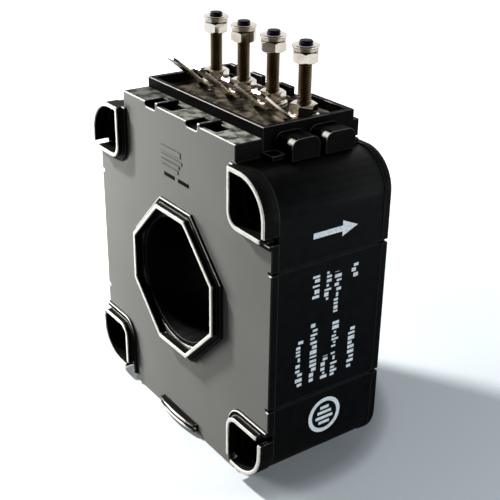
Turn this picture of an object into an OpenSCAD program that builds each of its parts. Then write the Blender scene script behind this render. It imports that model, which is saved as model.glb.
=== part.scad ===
// Hall effect current sensor: a moulded square case with a round primary aperture,
// leaf-shaped screw wells in its corners and a terminal tray with four threaded studs.
// X runs along the width, Y from the front face into the depth, Z up. The origin is
// the middle of the footprint, on the surface that the foot stands on.

/* [Body] */
// Width of the square body
body_w = 96; // [92:1:110]
// Height of the square body
body_h = 95; // [92:1:110]
// Depth from the front cover's face to the rear cover's face
body_d = 41; // [38:1:56]
// Radius of the body's outer corners
corner_r = 11.5; // [9:0.5:14]
// Thickness of the front cover and of the rear cover
cover_t = 2.5; // [2:0.25:3.5]
// Thickness of the case's outer walls
wall = 2.4; // [1.8:0.2:3]
// Distance that the case sits inside the edges of the two covers
case_inset = 0.3; // [0.1:0.1:0.6]

/* [Foot and hood] */
// Width of the foot, the hood and the terminal tray
spine_w = 61.6; // [58:0.2:62]
// Height of the foot below the square body
foot_h = 4.2; // [3:0.2:8]
// Height of the hood above the square body
hood_h = 5.1; // [4:0.1:8]
// Depth of the hood behind the front face
hood_d = 9; // [8:0.5:12]
// Wall thickness of the hood
hood_wall = 1.6; // [1.2:0.1:2]
// Width of the thumb lip on the foot
lip_w = 21; // [12:1:30]
// Thickness of the thumb lip
lip_t = 2.8; // [2:0.1:3]
// Distance that the middle of the lip's front bows out past its ends
lip_bow = 1.2; // [0.4:0.1:1.4]
// Width of the groove along the lip's front
lip_groove_w = 0.9; // [0.5:0.1:1.2]
// Depth of that groove
lip_groove_d = 1; // [0.4:0.1:1.2]

/* [Latches] */
// Distance from the middle to each latch
latch_x = 11.6; // [9:0.2:16]
// Reach of a latch window to the left of its latch
latch_left = 5.5; // [4:0.5:6]
// Reach of a latch window to the right of its latch
latch_right = 7.5; // [5:0.5:9]
// Depth of a latch window
latch_d = 4.8; // [3:0.2:5.4]
// Width of the notch that opens a latch window to the front
notch_w = 5.8; // [3:0.2:6.4]
// Depth of that notch below the hood's top
notch_h = 1.6; // [1:0.1:3.2]
// Width of the latch rib beside the notch
hook_w = 1.4; // [1:0.1:2]
// Height of the latch rib above the hood's top
hook_rise = 0.9; // [0.3:0.1:1.5]
// Reach of the latch rib behind its window
hook_reach = 1.2; // [0.4:0.2:1.6]

/* [Aperture] */
// Distance from the primary aperture to the body's top and bottom
bore_margin = 27.5; // [27:0.5:32]
// Wall thickness of the primary sleeve at its ends
sleeve_wall = 1.5; // [1:0.1:1.6]
// Extra radius of the sleeve between the two covers
sleeve_shoulder = 1; // [0.5:0.25:1.5]
// Distance from the aperture to the collar's upright and level flats
collar_margin = 3.2; // [2.8:0.1:4]
// Distance from the aperture to the collar's sloping flats
slope_margin = 2.1; // [1.6:0.1:3]
// Wall thickness of the collar and of the walls round the screw wells
rim_wall = 1.3; // [1:0.1:1.6]
// Distance that the collar, the well rims and the lip stand proud of the front
proud = 2.8; // [1.5:0.1:5]
// Width of the low step round the collar and the well rims
step_w = 1.7; // [0.8:0.1:2.4]
// Height of that step
step_h = 0.9; // [0.4:0.1:1.4]

/* [Screw wells] */
// Width and height of each leaf-shaped screw well
well_w = 17.3; // [15:0.1:18.5]
// Radius of the well's inner corner
well_inner_r = 4.7; // [3:0.1:6]
// Depth of the well behind the front face
well_depth = 22; // [8:1:30]
// Distance of the mounting holes from the body's sides, top and bottom
screw_inset = 9; // [8:0.25:10]
// Diameter of the mounting holes
screw_hole_d = 5.5; // [4.5:0.1:6.5]
// Size of the gaps where the well rims end at the body's edges
gap_w = 2.3; // [1:0.1:3]
// Distance that those gaps reach past the wells' sharp corners
gap_reach = 0.25; // [0.05:0.05:0.5]

/* [Side grooves] */
// Distance of each groove from the middle of the body
groove_z = 21.5; // [15:0.5:26]
// Width of the grooves
groove_w = 0.9; // [0.5:0.1:1.5]
// Depth of the grooves in the case
groove_d = 0.6; // [0.3:0.1:1]
// Depth of the grooves in the covers' edges
groove_notch = 1.4; // [0.8:0.1:2]

/* [Terminal tray] */
// Distance that the tray overhangs the rear cover
tray_overhang = 1.6; // [0.4:0.2:3]
// Height of the tray's floor above the square body
floor_h = 5.1; // [4.5:0.1:8]
// Thickness of the tray's floor
floor_t = 2.2; // [1.6:0.1:2.6]
// Height of the tray's rim above its floor
rim_h = 3.1; // [2:0.1:5]
// Thickness of the tray's rim
tray_wall = 1.6; // [1.2:0.1:2.4]
// Distance from the tray's back edge to its rear rim
rear_ledge = 2; // [1:0.2:4]
// Width of the gaps in the rear rim
wire_gap_w = 8.5; // [6:0.5:11]
// Number of gaps in the rear rim, from the left
wire_gaps = 3; // [1:1:4]
// Width of the tray's side flange
flange_w = 4.4; // [2:0.2:5]
// Thickness of the tray's side flange
flange_t = 1.3; // [0.8:0.1:2]
// Reach of the two side lugs
lug_reach = 7.6; // [6:0.2:9]
// Height of the side lugs above the square body
lug_h = 6; // [5:0.2:8]
// Length of the front lug
front_lug_l = 9.6; // [7:0.2:11]
// Length of the rear lug
rear_lug_l = 10.4; // [7:0.2:11]
// Gap between the two lugs
lug_gap = 2; // [1:0.2:3]
// Distance from the tray's front to the front lug
lug_start = 4; // [2:0.2:6]
// Radius of the lugs' upper corners
lug_r = 2.6; // [1:0.1:3]

/* [Terminals] */
// Distance of the outer studs from the tray's sides
stud_margin = 8.3; // [7.5:0.1:9.5]
// Distance of the studs from the front face
stud_y = 29; // [26:0.5:31]
// Diameter of the studs
stud_d = 4; // [3.5:0.1:4.5]
// Height of the studs above the tray's floor
stud_h = 22.4; // [18:0.2:30]
// Width across flats of the nuts and the stud heads
hex_af = 7; // [6.5:0.1:8]
// Height of the nuts
nut_h = 3.2; // [2.4:0.1:4]
// Height of the stud heads
head_h = 2.6; // [1.5:0.1:2.8]
// Height of the upper nuts above the tray's floor
upper_nut_h = 16.3; // [13:0.1:18]
// Diameter of the flat washers
washer_d = 9; // [8:0.1:10]
// Thickness of the flat washers
washer_t = 0.8; // [0.5:0.1:1.2]
// Diameter of the spring washers
spring_d = 7; // [6.5:0.1:8]
// Thickness of the spring washers
spring_t = 1; // [0.6:0.1:1.4]
// Radial clearance of nuts and washers on the studs
stud_clear = 0.05; // [0.02:0.01:0.15]
// Diameter of the upper flat washers
top_washer_d = 7.8; // [7:0.1:9]

/* [Blade tabs] */
// Width of the blade tabs
tab_w = 6.3; // [4.8:0.1:7]
// Thickness of the blade tabs
tab_t = 0.8; // [0.5:0.1:1]
// Length of the raised blade
tab_l = 15.5; // [10:0.5:17]
// Angle of the blade above the tray's floor
tab_angle = 40; // [25:1:60]
// Distance from the stud's axis to the blade's bend
tab_bend = 5; // [4:0.2:6]
// Diameter of the tab's ring
tab_ring_d = 9; // [8:0.1:10]
// Diameter of the hole near the blade's tip
tab_hole_d = 1.8; // [1:0.1:2.2]
// Length of the chamfers at the blade's tip
tab_chamfer = 1.2; // [0.5:0.1:1.8]

/* [Magnetic circuit] */
// Clearance between the parts of the magnetic circuit
fit_gap = 0.1; // [0.05:0.05:0.2]
// Thickness of the winding
winding_t = 1.4; // [1:0.1:1.8]
// Thickness of the winding on its outside
winding_outer_t = 3; // [2:0.1:3.4]
// Wall thickness of the winding's former
former_t = 1; // [0.8:0.1:1.2]
// Thickness of the core along its radius
core_t = 7.6; // [5:0.1:7.8]
// Width of the core along the aperture
core_w = 20; // [14:0.5:22]
// Width of the core's air gap
air_gap = 3; // [2.6:0.1:4]
// Width of the opening that the former leaves at the air gap
former_gap = 8; // [6:0.5:10]
// Width of the opening that the winding leaves at the air gap
winding_gap = 12; // [11:0.5:16]

/* [Electronics] */
// Thickness of the circuit board
board_t = 1.6; // [1:0.1:2]
// Height of the air space above the circuit board
board_head = 3.7; // [3:0.1:4]
// Clearance round the circuit board
board_clear = 0.3; // [0.1:0.1:0.6]
// Width of the rails that carry the circuit board
rail_w = 1.6; // [1:0.1:2]
// Height of those rails
rail_h = 1.3; // [1:0.1:2]
// Thickness of the Hall element
hall_t = 1.2; // [0.8:0.1:1.3]
// Width and height of the Hall element
hall_w = 4; // [3:0.1:5]
// Thickness of the Hall element's carrier
carrier_t = 0.8; // [0.6:0.1:1]
// Width of the Hall element's carrier
carrier_w = 9; // [6:0.5:12]
// Distance of the capacitors from the screw towers
capacitor_clear = 1.7; // [0.5:0.1:3]
// Diameter of the capacitors
capacitor_d = 6; // [4:0.5:6.5]
// Length of the capacitors
capacitor_l = 5; // [4:0.5:5.5]
// Distance of the power transistors from the middle
transistor_x = 12; // [8:0.5:18]
// Distance of the power transistors behind the front cover
transistor_y = 2; // [1:0.5:4]
// Width of a power transistor
transistor_w = 10; // [6:0.5:12]
// Length of a power transistor's moulded body
transistor_l = 9; // [6:0.5:10]
// Height of a power transistor
transistor_h = 2.6; // [1.6:0.1:2.8]
// Thickness of a power transistor's metal tab
transistor_tab_t = 1; // [0.6:0.1:1.4]
// Diameter of the leads between the board and the studs
lead_d = 1.6; // [1:0.1:2.2]

/* [Hidden] */
round_fn = 96;
small_fn = 40;
// A cut that has to pass a face runs past it by this much
past = 1;
// Half of the angle between two sides of an octagon
half_turn = 22.5;
front_y = (proud - body_d - tray_overhang) / 2;
top_z = foot_h + body_h;
mid_z = foot_h + body_h / 2;
hood_z = top_z + hood_h;
floor_z = top_z + floor_h;
rear_y = body_d - cover_t;
mid_y = body_d / 2;
bore_r = body_h / 2 - bore_margin;
collar_w = 2 * (bore_r + collar_margin);
collar_flat = 2 * (sqrt(2) * (bore_r + slope_margin) - collar_w / 2);
sleeve_r = bore_r + sleeve_wall;
shoulder_r = sleeve_r + sleeve_shoulder;
case_w = body_w - 2 * case_inset;
well_x = body_w / 2 - well_w / 2;
well_z = body_h / 2 - well_w / 2;
tray_back = body_d + tray_overhang;
rear_rim_y = tray_back - rear_ledge - tray_wall;
winding_in = shoulder_r + fit_gap;
former_in = winding_in + winding_t + fit_gap;
core_in = former_in + former_t + fit_gap;
core_out = core_in + core_t;
former_out = core_out + fit_gap + former_t;
winding_out = former_out + fit_gap + winding_outer_t;
former_w = core_w + 2 * (fit_gap + former_t);
winding_w = former_w + 2 * (fit_gap + winding_t);
board_top = top_z - case_inset - wall - board_head;
board_z = board_top - board_t;
stud_x = [for (side = [-1, -1 / 3, 1 / 3, 1]) side * (spine_w / 2 - stud_margin)];
// Turns that the upper nuts have come to rest at, in degrees, from the left
nut_turns = [21, 14, 31, 22];
capacitor_x = body_w / 2 - well_w - capacitor_clear - capacitor_d / 2;

// Moves a part from the front face's frame into the part's own frame
module placed() {
    translate([0, front_y, 0]) children();
}

// Extrudes an outline, drawn in X and Z, from depth y0 to depth y1
module slab(y0, y1) {
    translate([0, y1, 0]) rotate([90, 0, 0]) linear_extrude(y1 - y0) children();
}

// Repeats its children in the right half and mirrored in the left half
module both_sides() {
    children();
    mirror([1, 0]) children();
}

// Repeats its children in all four corners, mirrored about the body's middle
module four_corners() {
    translate([0, mid_z]) both_sides() {
        children();
        mirror([0, 1]) children();
    }
}

// Rectangle about the origin with four true round corners
module rounded(w, h, r) {
    square([w - 2 * r, h], center = true);
    square([w, h - 2 * r], center = true);
    for (x = [-1, 1], y = [-1, 1])
        translate([x * (w / 2 - r), y * (h / 2 - r)]) circle(r, $fn = round_fn);
}

// Leaf outline: a square with a round outer corner and a round inner corner
module leaf(w, outer_r, inner_r) {
    difference() {
        square(w, center = true);
        translate([w / 2 - outer_r, w / 2 - outer_r]) difference() {
            square(outer_r + past);
            circle(outer_r, $fn = round_fn);
        }
        translate([inner_r - w / 2, inner_r - w / 2]) difference() {
            translate([-inner_r - past, -inner_r - past]) square(inner_r + past);
            circle(inner_r, $fn = round_fn);
        }
    }
}

// The four leaf outlines, grown or shrunk about their own middles
module leaves(grow = 0) {
    four_corners() translate([well_x, well_z])
        leaf(well_w + 2 * grow, corner_r + grow, well_inner_r + grow);
}

// Octagon with upright and level flats of one length and sloping ones between
module octagon(w, flat) {
    a = w / 2;
    b = flat / 2;
    polygon([[-b, -a], [b, -a], [a, -b], [a, b], [b, a], [-b, a], [-a, b], [-a, -b]]);
}

// Outline of the square body, drawn in by the inset
module body_outline(inset = 0) {
    translate([0, mid_z])
        rounded(body_w - 2 * inset, body_h - 2 * inset, corner_r - inset);
}

// Outline of the upright spine that makes the foot and carries the tray
module spine_outline(top, inset = 0) {
    translate([inset - spine_w / 2, 0]) square([spine_w - 2 * inset, top]);
}

// Mounting holes as circles
module screw_holes() {
    for (x = [-1, 1], z = [-1, 1])
        translate([x * (body_w / 2 - screw_inset), mid_z + z * (body_h / 2 - screw_inset)])
            circle(d = screw_hole_d, $fn = small_fn);
}

// Grooves across both sides, as cuts of one depth
module groove_cuts(depth, half_w) {
    for (x = [-1, 1], z = [-1, 1])
        translate([x * half_w, mid_z + z * groove_z])
            square([2 * depth, groove_w], center = true);
}

// Gaps in the covers' edges and rims at the sharp corners of the wells
module edge_gaps() {
    four_corners() translate([body_w / 2 - gap_w, body_h / 2 - well_w - gap_reach])
        square([gap_w + past, gap_w]);
}

// Gaps in the rims of the lower wells, beside the foot
module foot_gaps() {
    translate([0, foot_h]) both_sides() translate([body_w / 2 - well_w - gap_reach, -past])
        square([gap_w, gap_w + past]);
}

// Rims that stand on the front cover: the octagonal collar and the four well rims
module front_rims() {
    slab(-proud, 0) difference() {
        translate([0, mid_z]) octagon(collar_w, collar_flat);
        translate([0, mid_z])
            octagon(collar_w - 2 * rim_wall, collar_flat - 2 * rim_wall * tan(half_turn));
    }
    slab(-proud, 0) difference() {
        leaves();
        leaves(-rim_wall);
        edge_gaps();
        foot_gaps();
    }
}

// Low step at the foot of the rims
module rim_steps() {
    slab(-step_h, 0) difference() {
        translate([0, mid_z])
            octagon(collar_w + 2 * step_w, collar_flat + 2 * step_w * tan(half_turn));
        translate([0, mid_z]) octagon(collar_w - rim_wall, collar_flat);
    }
    slab(-step_h, 0) difference() {
        intersection() {
            leaves(step_w);
            union() {
                body_outline();
                spine_outline(top_z);
            }
        }
        leaves(-rim_wall / 2);
        edge_gaps();
        foot_gaps();
    }
}

// Hollow hood above the front cover, with two latch windows and their ribs
module hood() {
    difference() {
        union() {
            slab(0, hood_d) translate([-spine_w / 2, top_z]) square([spine_w, hood_h]);
            slab(0, hood_wall) translate([-spine_w / 2, top_z - cover_t])
                square([spine_w, cover_t + hood_h]);
        }
        slab(hood_wall, hood_d - hood_wall) translate([hood_wall - spine_w / 2, top_z - past])
            square([spine_w - 2 * hood_wall, hood_h - hood_wall + past]);
        for (x = [-latch_x, latch_x]) {
            translate([x - latch_left, hood_wall, top_z + hood_h / 2])
                cube([latch_left + latch_right, latch_d, hood_h]);
            slab(-past, hood_wall + past) latch_notch(x - latch_left);
        }
    }
    for (x = [-latch_x, latch_x])
        translate([x - latch_left + notch_w, 0, top_z])
            cube([hook_w, hood_wall + latch_d + hook_reach, hood_h + hook_rise]);
}

// Notch with round lower corners that opens a latch window to the front
module latch_notch(x) {
    r = notch_h / 2;
    translate([x, hood_z - notch_h]) {
        translate([r, r]) circle(r, $fn = small_fn);
        translate([notch_w - r, r]) circle(r, $fn = small_fn);
        translate([r, 0]) square([notch_w - 2 * r, notch_h + past]);
        translate([0, r]) square([notch_w, notch_h - r + past]);
    }
}

// Outline of the thumb lip in X and Y, bowed in front and drawn in there by the inset
module lip_outline(inset = 0) {
    r = (pow(lip_w / 2, 2) + pow(lip_bow, 2)) / (2 * lip_bow);
    intersection() {
        translate([-lip_w / 2, -proud]) square([lip_w, proud]);
        translate([0, r - proud + inset]) circle(r, $fn = round_fn);
    }
}

// Thumb lip on the front of the foot, with a groove along its bowed front
module thumb_lip() {
    flange_h = (lip_t - lip_groove_w) / 2;
    translate([0, 0, foot_h - lip_t]) {
        linear_extrude(flange_h) lip_outline();
        linear_extrude(lip_t) lip_outline(lip_groove_d);
        translate([0, 0, lip_t - flange_h]) linear_extrude(flange_h) lip_outline();
    }
}

// Front cover: plate, collar, well rims, hood and thumb lip in one moulding
module front_cover() {
    color([0.16, 0.16, 0.15]) placed() {
        slab(0, cover_t) difference() {
            union() {
                body_outline();
                spine_outline(top_z);
            }
            translate([0, mid_z]) circle(sleeve_r + fit_gap, $fn = round_fn);
            leaves(-rim_wall);
            edge_gaps();
            groove_cuts(groove_notch, body_w / 2);
        }
        front_rims();
        rim_steps();
        hood();
        thumb_lip();
    }
}

// Outline of the case's outer walls with the foot and the seat of the tray
module case_outline() {
    body_outline(case_inset);
    spine_outline(top_z, case_inset);
}

// Solid towers round the screw wells, joined to the case's walls
module towers() {
    intersection() {
        leaves();
        body_outline(case_inset);
    }
}

// Case: outer walls, screw towers with their wells, board rails and the lead opening
module case() {
    color([0.07, 0.07, 0.075]) placed() difference() {
        union() {
            slab(cover_t, rear_y) difference() {
                case_outline();
                body_outline(case_inset + wall);
                groove_cuts(groove_d, case_w / 2);
            }
            slab(cover_t, rear_y) difference() {
                towers();
                groove_cuts(groove_d, case_w / 2);
            }
            slab(cover_t, rear_y) both_sides()
                translate([body_w / 2 - well_w - rail_w, board_z - rail_h])
                    square([rail_w + past, rail_h]);
        }
        slab(cover_t - past, well_depth) leaves(-rim_wall);
        slab(well_depth - past, body_d) screw_holes();
        lead_opening();
    }
}

// Opening in the case's top for the leads from the board to the studs
module lead_opening() {
    w = spine_w - 2 * stud_margin + hex_af;
    translate([-w / 2, stud_y - hex_af, board_top]) cube([w, 2 * hex_af, board_head + 2 * wall]);
}

// Rear cover: flat plate with the sleeve's hole and the mounting holes
module rear_cover() {
    color([0.07, 0.07, 0.075]) placed() slab(rear_y, body_d) difference() {
        union() {
            body_outline();
            spine_outline(top_z);
        }
        translate([0, mid_z]) circle(sleeve_r + fit_gap, $fn = round_fn);
        screw_holes();
        groove_cuts(groove_notch, body_w / 2);
    }
}

// Revolves a profile, drawn as radius and depth, about the aperture's axis
module about_aperture() {
    translate([0, mid_y, mid_z]) rotate([90, 0, 0]) rotate_extrude($fn = round_fn) children();
}

// Profile of a ring from radius r0 to r1, of width w
module ring_profile(r0, r1, w) {
    translate([r0, -w / 2]) square([r1 - r0, w]);
}

// Cut that opens a ring at its top by the width w
module top_gap(w) {
    translate([-w / 2, 0, mid_z]) cube([w, body_d, winding_out + past]);
}

// Sleeve that lines the primary aperture, with a shoulder between the covers
module primary_sleeve() {
    color([0.06, 0.06, 0.065]) placed() about_aperture() {
        ring_profile(bore_r, sleeve_r, body_d);
        ring_profile(bore_r, shoulder_r, body_d - 2 * cover_t);
    }
}

// Ring core of silicon steel strip with one air gap
module magnetic_core() {
    color([0.42, 0.43, 0.45]) placed() difference() {
        about_aperture() ring_profile(core_in, core_out, core_w);
        top_gap(air_gap);
    }
}

// Moulded channel that insulates the core from the winding
module winding_former() {
    color([0.85, 0.83, 0.74]) placed() difference() {
        about_aperture() difference() {
            ring_profile(former_in, former_out, former_w);
            ring_profile(core_in - fit_gap, core_out + fit_gap, core_w + 2 * fit_gap);
        }
        top_gap(former_gap);
    }
}

// Copper winding round the former, as one closed layer
module secondary_winding() {
    color([0.72, 0.36, 0.16]) placed() difference() {
        about_aperture() difference() {
            ring_profile(winding_in, winding_out, winding_w);
            ring_profile(former_in - fit_gap, former_out + fit_gap, former_w + 2 * fit_gap);
        }
        top_gap(winding_gap);
    }
}

// Hall element in the core's air gap
module hall_element() {
    color([0.1, 0.1, 0.11]) placed()
        translate([-hall_t, mid_y - hall_w / 2, mid_z + (core_in + core_out - hall_w) / 2])
            cube([hall_t, hall_w, hall_w]);
}

// Small board that carries the Hall element and hangs from the circuit board
module hall_carrier() {
    color([0.1, 0.35, 0.18]) placed()
        translate([0, mid_y - carrier_w / 2, mid_z + core_in])
            cube([carrier_t, carrier_w, board_z - mid_z - core_in]);
}

// Circuit board on the case's rails
module circuit_board() {
    inner_d = rear_y - cover_t - 2 * board_clear;
    color([0.08, 0.3, 0.15]) placed()
        translate([-(body_w / 2 - well_w - board_clear), cover_t + board_clear, board_z])
            cube([body_w - 2 * well_w - 2 * board_clear, inner_d, board_t]);
}

// Two power transistors, each a moulded body on a metal tab
module power_transistors() {
    color([0.12, 0.12, 0.13]) placed() for (x = [-transistor_x, transistor_x])
        translate([x, cover_t + transistor_y, board_top]) {
            translate([-transistor_w / 2, transistor_l / 2, 0])
                cube([transistor_w, transistor_l, transistor_tab_t]);
            translate([-transistor_w / 2, 0, 0])
                cube([transistor_w, transistor_l, transistor_h]);
        }
}

// Two capacitors below the circuit board
module capacitors() {
    color([0.16, 0.2, 0.42]) placed() for (x = [-capacitor_x, capacitor_x])
        translate([x, mid_y, board_z - capacitor_l])
            cylinder(d = capacitor_d, h = capacitor_l, $fn = small_fn);
}

// Leads from the circuit board to the stud heads
module stud_leads() {
    color([0.75, 0.72, 0.68]) placed() for (x = stud_x)
        translate([x, stud_y, board_top])
            cylinder(d = lead_d, h = floor_z - floor_t - head_h - board_top, $fn = small_fn);
}

// Outline of a side lug in Y and Z, with its upper corners rounded
module lug_outline(l) {
    square([l, lug_h - lug_r]);
    translate([lug_r, 0]) square([l - 2 * lug_r, lug_h]);
    for (y = [lug_r, l - lug_r]) translate([y, lug_h - lug_r]) circle(lug_r, $fn = small_fn);
}

// One lug on the tray's right side, from depth y
module side_lug(y, l) {
    translate([spine_w / 2 - tray_wall, y, top_z]) rotate([90, 0, 90])
        linear_extrude(lug_reach + tray_wall) lug_outline(l);
}

// Terminal tray: block, rim with wire gaps, side flange and lugs
module terminal_tray() {
    half = spine_w / 2;
    inner = half - tray_wall;
    rear_lug_y = hood_d + lug_start + front_lug_l + lug_gap;
    color([0.07, 0.07, 0.075]) placed() difference() {
        union() {
            translate([-half, hood_d, top_z]) cube([spine_w, tray_back - hood_d, floor_h]);
            translate([-half, hood_d, top_z])
                cube([spine_w, rear_rim_y + tray_wall - hood_d, floor_h + rim_h]);
            translate([half - tray_wall, hood_d, top_z])
                cube([flange_w + tray_wall, rear_rim_y - hood_d, flange_t]);
            side_lug(hood_d + lug_start, front_lug_l);
            side_lug(rear_lug_y, rear_lug_l);
        }
        translate([-inner, hood_d + tray_wall, floor_z])
            cube([2 * inner, rear_rim_y - hood_d - tray_wall, rim_h + past]);
        translate([-inner, hood_d + tray_wall, top_z - past])
            cube([2 * inner, rear_rim_y - hood_d - tray_wall, floor_h - floor_t + past]);
        for (i = [0:wire_gaps - 1])
            translate([stud_x[i] - wire_gap_w / 2, rear_rim_y - past, floor_z])
                cube([wire_gap_w, tray_wall + 2 * past, rim_h + past]);
        for (x = stud_x) translate([x, stud_y, top_z])
            cylinder(r = stud_d / 2 + stud_clear, h = floor_h + past, $fn = small_fn);
    }
}

// Regular hexagonal prism
module hexagon(h) {
    cylinder(r = hex_af / sqrt(3), h = h, $fn = 6);
}

// Threaded stud with a hexagonal head below the tray's floor
module terminal_stud(i) {
    color([0.78, 0.76, 0.72]) placed() translate([stud_x[i], stud_y, floor_z]) {
        translate([0, 0, -floor_t - head_h]) hexagon(head_h);
        translate([0, 0, -floor_t - head_h])
            cylinder(d = stud_d, h = stud_h + floor_t + head_h, $fn = small_fn);
    }
}

// Hole for a stud, from height z upwards
module stud_bore(h) {
    translate([0, 0, -past])
        cylinder(r = stud_d / 2 + stud_clear, h = h + 2 * past, $fn = small_fn);
}

// Outline of a blade tab's raised blade, with its tip chamfered
module blade_outline() {
    w = tab_w / 2;
    c = tab_chamfer;
    polygon([[-w, 0], [w, 0], [w, tab_l - c], [w - c, tab_l], [c - w, tab_l], [-w, tab_l - c]]);
}

// Blade tab: a ring under the base nut and a blade that rises to the front
module blade_tab(i) {
    color([0.8, 0.78, 0.74]) placed() translate([stud_x[i], stud_y, floor_z]) {
        difference() {
            union() {
                cylinder(d = tab_ring_d, h = tab_t, $fn = small_fn);
                translate([-tab_w / 2, -tab_bend, 0]) cube([tab_w, tab_bend, tab_t]);
            }
            stud_bore(tab_t);
        }
        translate([0, -tab_bend, 0]) rotate([tab_angle, 0, 180]) difference() {
            linear_extrude(tab_t) blade_outline();
            translate([0, tab_l - 2 * tab_hole_d, -past])
                cylinder(d = tab_hole_d, h = tab_t + 2 * past, $fn = small_fn);
        }
    }
}

// Repeats its children at every stud, at a height above the tray's floor, turned in place
module at_studs(h, turns = [0, 0, 0, 0]) {
    placed() for (i = [0:3]) translate([stud_x[i], stud_y, floor_z + h])
        rotate([0, 0, turns[i]]) children();
}

// Flat washers on the blade tabs' rings
module base_washers() {
    color([0.82, 0.8, 0.77]) at_studs(tab_t) difference() {
        cylinder(d = washer_d, h = washer_t, $fn = small_fn);
        stud_bore(washer_t);
    }
}

// Nuts that hold the blade tabs
module base_nuts() {
    color([0.8, 0.78, 0.74]) at_studs(tab_t + washer_t) difference() {
        hexagon(nut_h);
        stud_bore(nut_h);
    }
}

// Nuts near the studs' ends, for the customer's ring terminals
module upper_nuts() {
    color([0.8, 0.78, 0.74]) at_studs(upper_nut_h, nut_turns) difference() {
        hexagon(nut_h);
        stud_bore(nut_h);
    }
}

// Split spring washers on the upper nuts
module spring_washers() {
    color([0.7, 0.69, 0.66]) at_studs(upper_nut_h + nut_h) difference() {
        cylinder(d = spring_d, h = spring_t, $fn = small_fn);
        stud_bore(spring_t);
        translate([0, -spring_t / 4, -past]) cube([spring_d, spring_t / 2, spring_t + 2 * past]);
    }
}

// Flat washers on the spring washers
module upper_washers() {
    color([0.82, 0.8, 0.77]) at_studs(upper_nut_h + nut_h + spring_t) difference() {
        cylinder(d = top_washer_d, h = washer_t, $fn = small_fn);
        stud_bore(washer_t);
    }
}

front_cover();
case();
rear_cover();
primary_sleeve();
magnetic_core();
winding_former();
secondary_winding();
hall_element();
hall_carrier();
circuit_board();
power_transistors();
capacitors();
stud_leads();
terminal_tray();
terminal_stud(0);  // terminal_stud_1
terminal_stud(1);  // terminal_stud_2
terminal_stud(2);  // terminal_stud_3
terminal_stud(3);  // terminal_stud_4
blade_tab(0);  // blade_tab_1
blade_tab(1);  // blade_tab_2
blade_tab(2);  // blade_tab_3
blade_tab(3);  // blade_tab_4
base_washers();
base_nuts();
upper_nuts();
spring_washers();
upper_washers();
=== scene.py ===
import math
import random
import bpy
import bmesh
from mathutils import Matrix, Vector


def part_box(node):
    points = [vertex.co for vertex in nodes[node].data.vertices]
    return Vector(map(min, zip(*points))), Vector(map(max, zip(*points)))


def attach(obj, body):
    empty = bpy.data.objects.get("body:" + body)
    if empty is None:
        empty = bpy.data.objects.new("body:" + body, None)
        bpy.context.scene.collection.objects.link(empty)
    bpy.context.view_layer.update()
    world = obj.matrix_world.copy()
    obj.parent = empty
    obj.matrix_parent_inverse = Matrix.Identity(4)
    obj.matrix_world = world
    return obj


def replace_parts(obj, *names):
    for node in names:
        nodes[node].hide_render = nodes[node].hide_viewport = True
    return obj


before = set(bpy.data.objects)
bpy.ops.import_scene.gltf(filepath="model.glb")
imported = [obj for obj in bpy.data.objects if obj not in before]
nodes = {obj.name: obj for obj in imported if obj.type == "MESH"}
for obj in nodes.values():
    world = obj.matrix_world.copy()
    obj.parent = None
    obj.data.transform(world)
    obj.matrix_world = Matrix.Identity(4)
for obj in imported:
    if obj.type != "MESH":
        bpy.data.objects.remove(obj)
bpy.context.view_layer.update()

# Lengths are in metres, or in mm where a comment says so, in the frame of the solids
MM = 0.001
TURN = 2 * math.pi

# Camera that matches the view of the object: place, turn in degrees, and focal length and sensor in mm
CAMERA_PLACE = (0.2275, -0.1541, 0.1862)
CAMERA_TURN = (64.776, -0.692, 55.002)
FOCAL_LENGTH = 69.03
SENSOR_WIDTH = 36.0

# Studio lamps: name, place, size, power and colour, all aimed at the middle of the body
LAMPS = [
    ("low_left", (-0.26, -0.15, 0.03), 0.1, 1.75, (1.0, 0.99, 0.965)),
    ("high_left", (-0.3, -0.14, 0.33), 0.04, 3.0, (1.0, 0.99, 0.97)),
    ("low_right", (0.45, 0.07, 0.09), 0.15, 1.3, (0.9, 0.96, 1.0)),
]
LAMP_TARGET = (0.0, 0.0, 0.05)
# Lamps that gloss may mirror
LAMPS_IN_GLOSS = ["high_left"]
SKY_COLOUR = (0.8, 0.9, 1.0)
SKY_STRENGTH = 0.05
FLOOR_SIZE = 6.0
# The floor's colour as the camera sees it, and its dimmer colour in bounced light
FLOOR_COLOUR = (0.76, 0.8, 0.84)
FLOOR_DIM = (0.16, 0.165, 0.17)
# Distance from the middle of the object, and the floor's glow there: to the camera, and as metal mirrors it
# To the camera the glow paints the tone of the shadow: none close to the object, a bluish grey further out,
# and white far out
FLOOR_GLOW_AND_SHADOW_TONE = [(0.049, (0, 0, 0)), (0.055, (0.185, 0.2, 0.21)), (0.1, (0.2, 0.225, 0.24)),
              (0.14, (0.3, 0.33, 0.35)), (0.3, (1, 1, 1))]
MIRROR_GLOW = [(0.2, (0.01, 0.01, 0.01)), (0.34, (1, 1, 1))]
# Metal mirrors the floor brown on one side: that side's direction, and the cosines where brown sets in
DARK_SIDE = (0.783, -0.622, 0.0)
DARK_SIDE_EDGE = (0.62, 0.74)
MIRROR_BROWN = (0.06, 0.04, 0.022)
# The room as metal mirrors it, from the bright side at 0 to the dark side at 1, and from below to above
ROOM_ACROSS = [(0.5, (1, 1, 1)), (0.62, (0.3, 0.26, 0.2)), (0.72, (0.05, 0.035, 0.02))]
ROOM_UPWARD = [(0.72, (1, 1, 1)), (0.86, (0.35, 0.31, 0.25))]

# Depths are measured from the front face, less than 0 in front of it.
# Painted highlight on the front cover's edges: its strength at each depth, within a span before and behind
# the face
BAND_SPAN = 3 * MM
EDGE_HIGHLIGHT_BANDS = [(-2.4 * MM, 1.0), (-2.3 * MM, 0.0), (-0.94 * MM, 0.0), (-0.92 * MM, 1.0), (-0.58 * MM, 1.0),
              (-0.56 * MM, 0.0), (-0.02 * MM, 0.0), (0.0, 1.0), (0.32 * MM, 1.0), (0.34 * MM, 0.0)]
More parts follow.
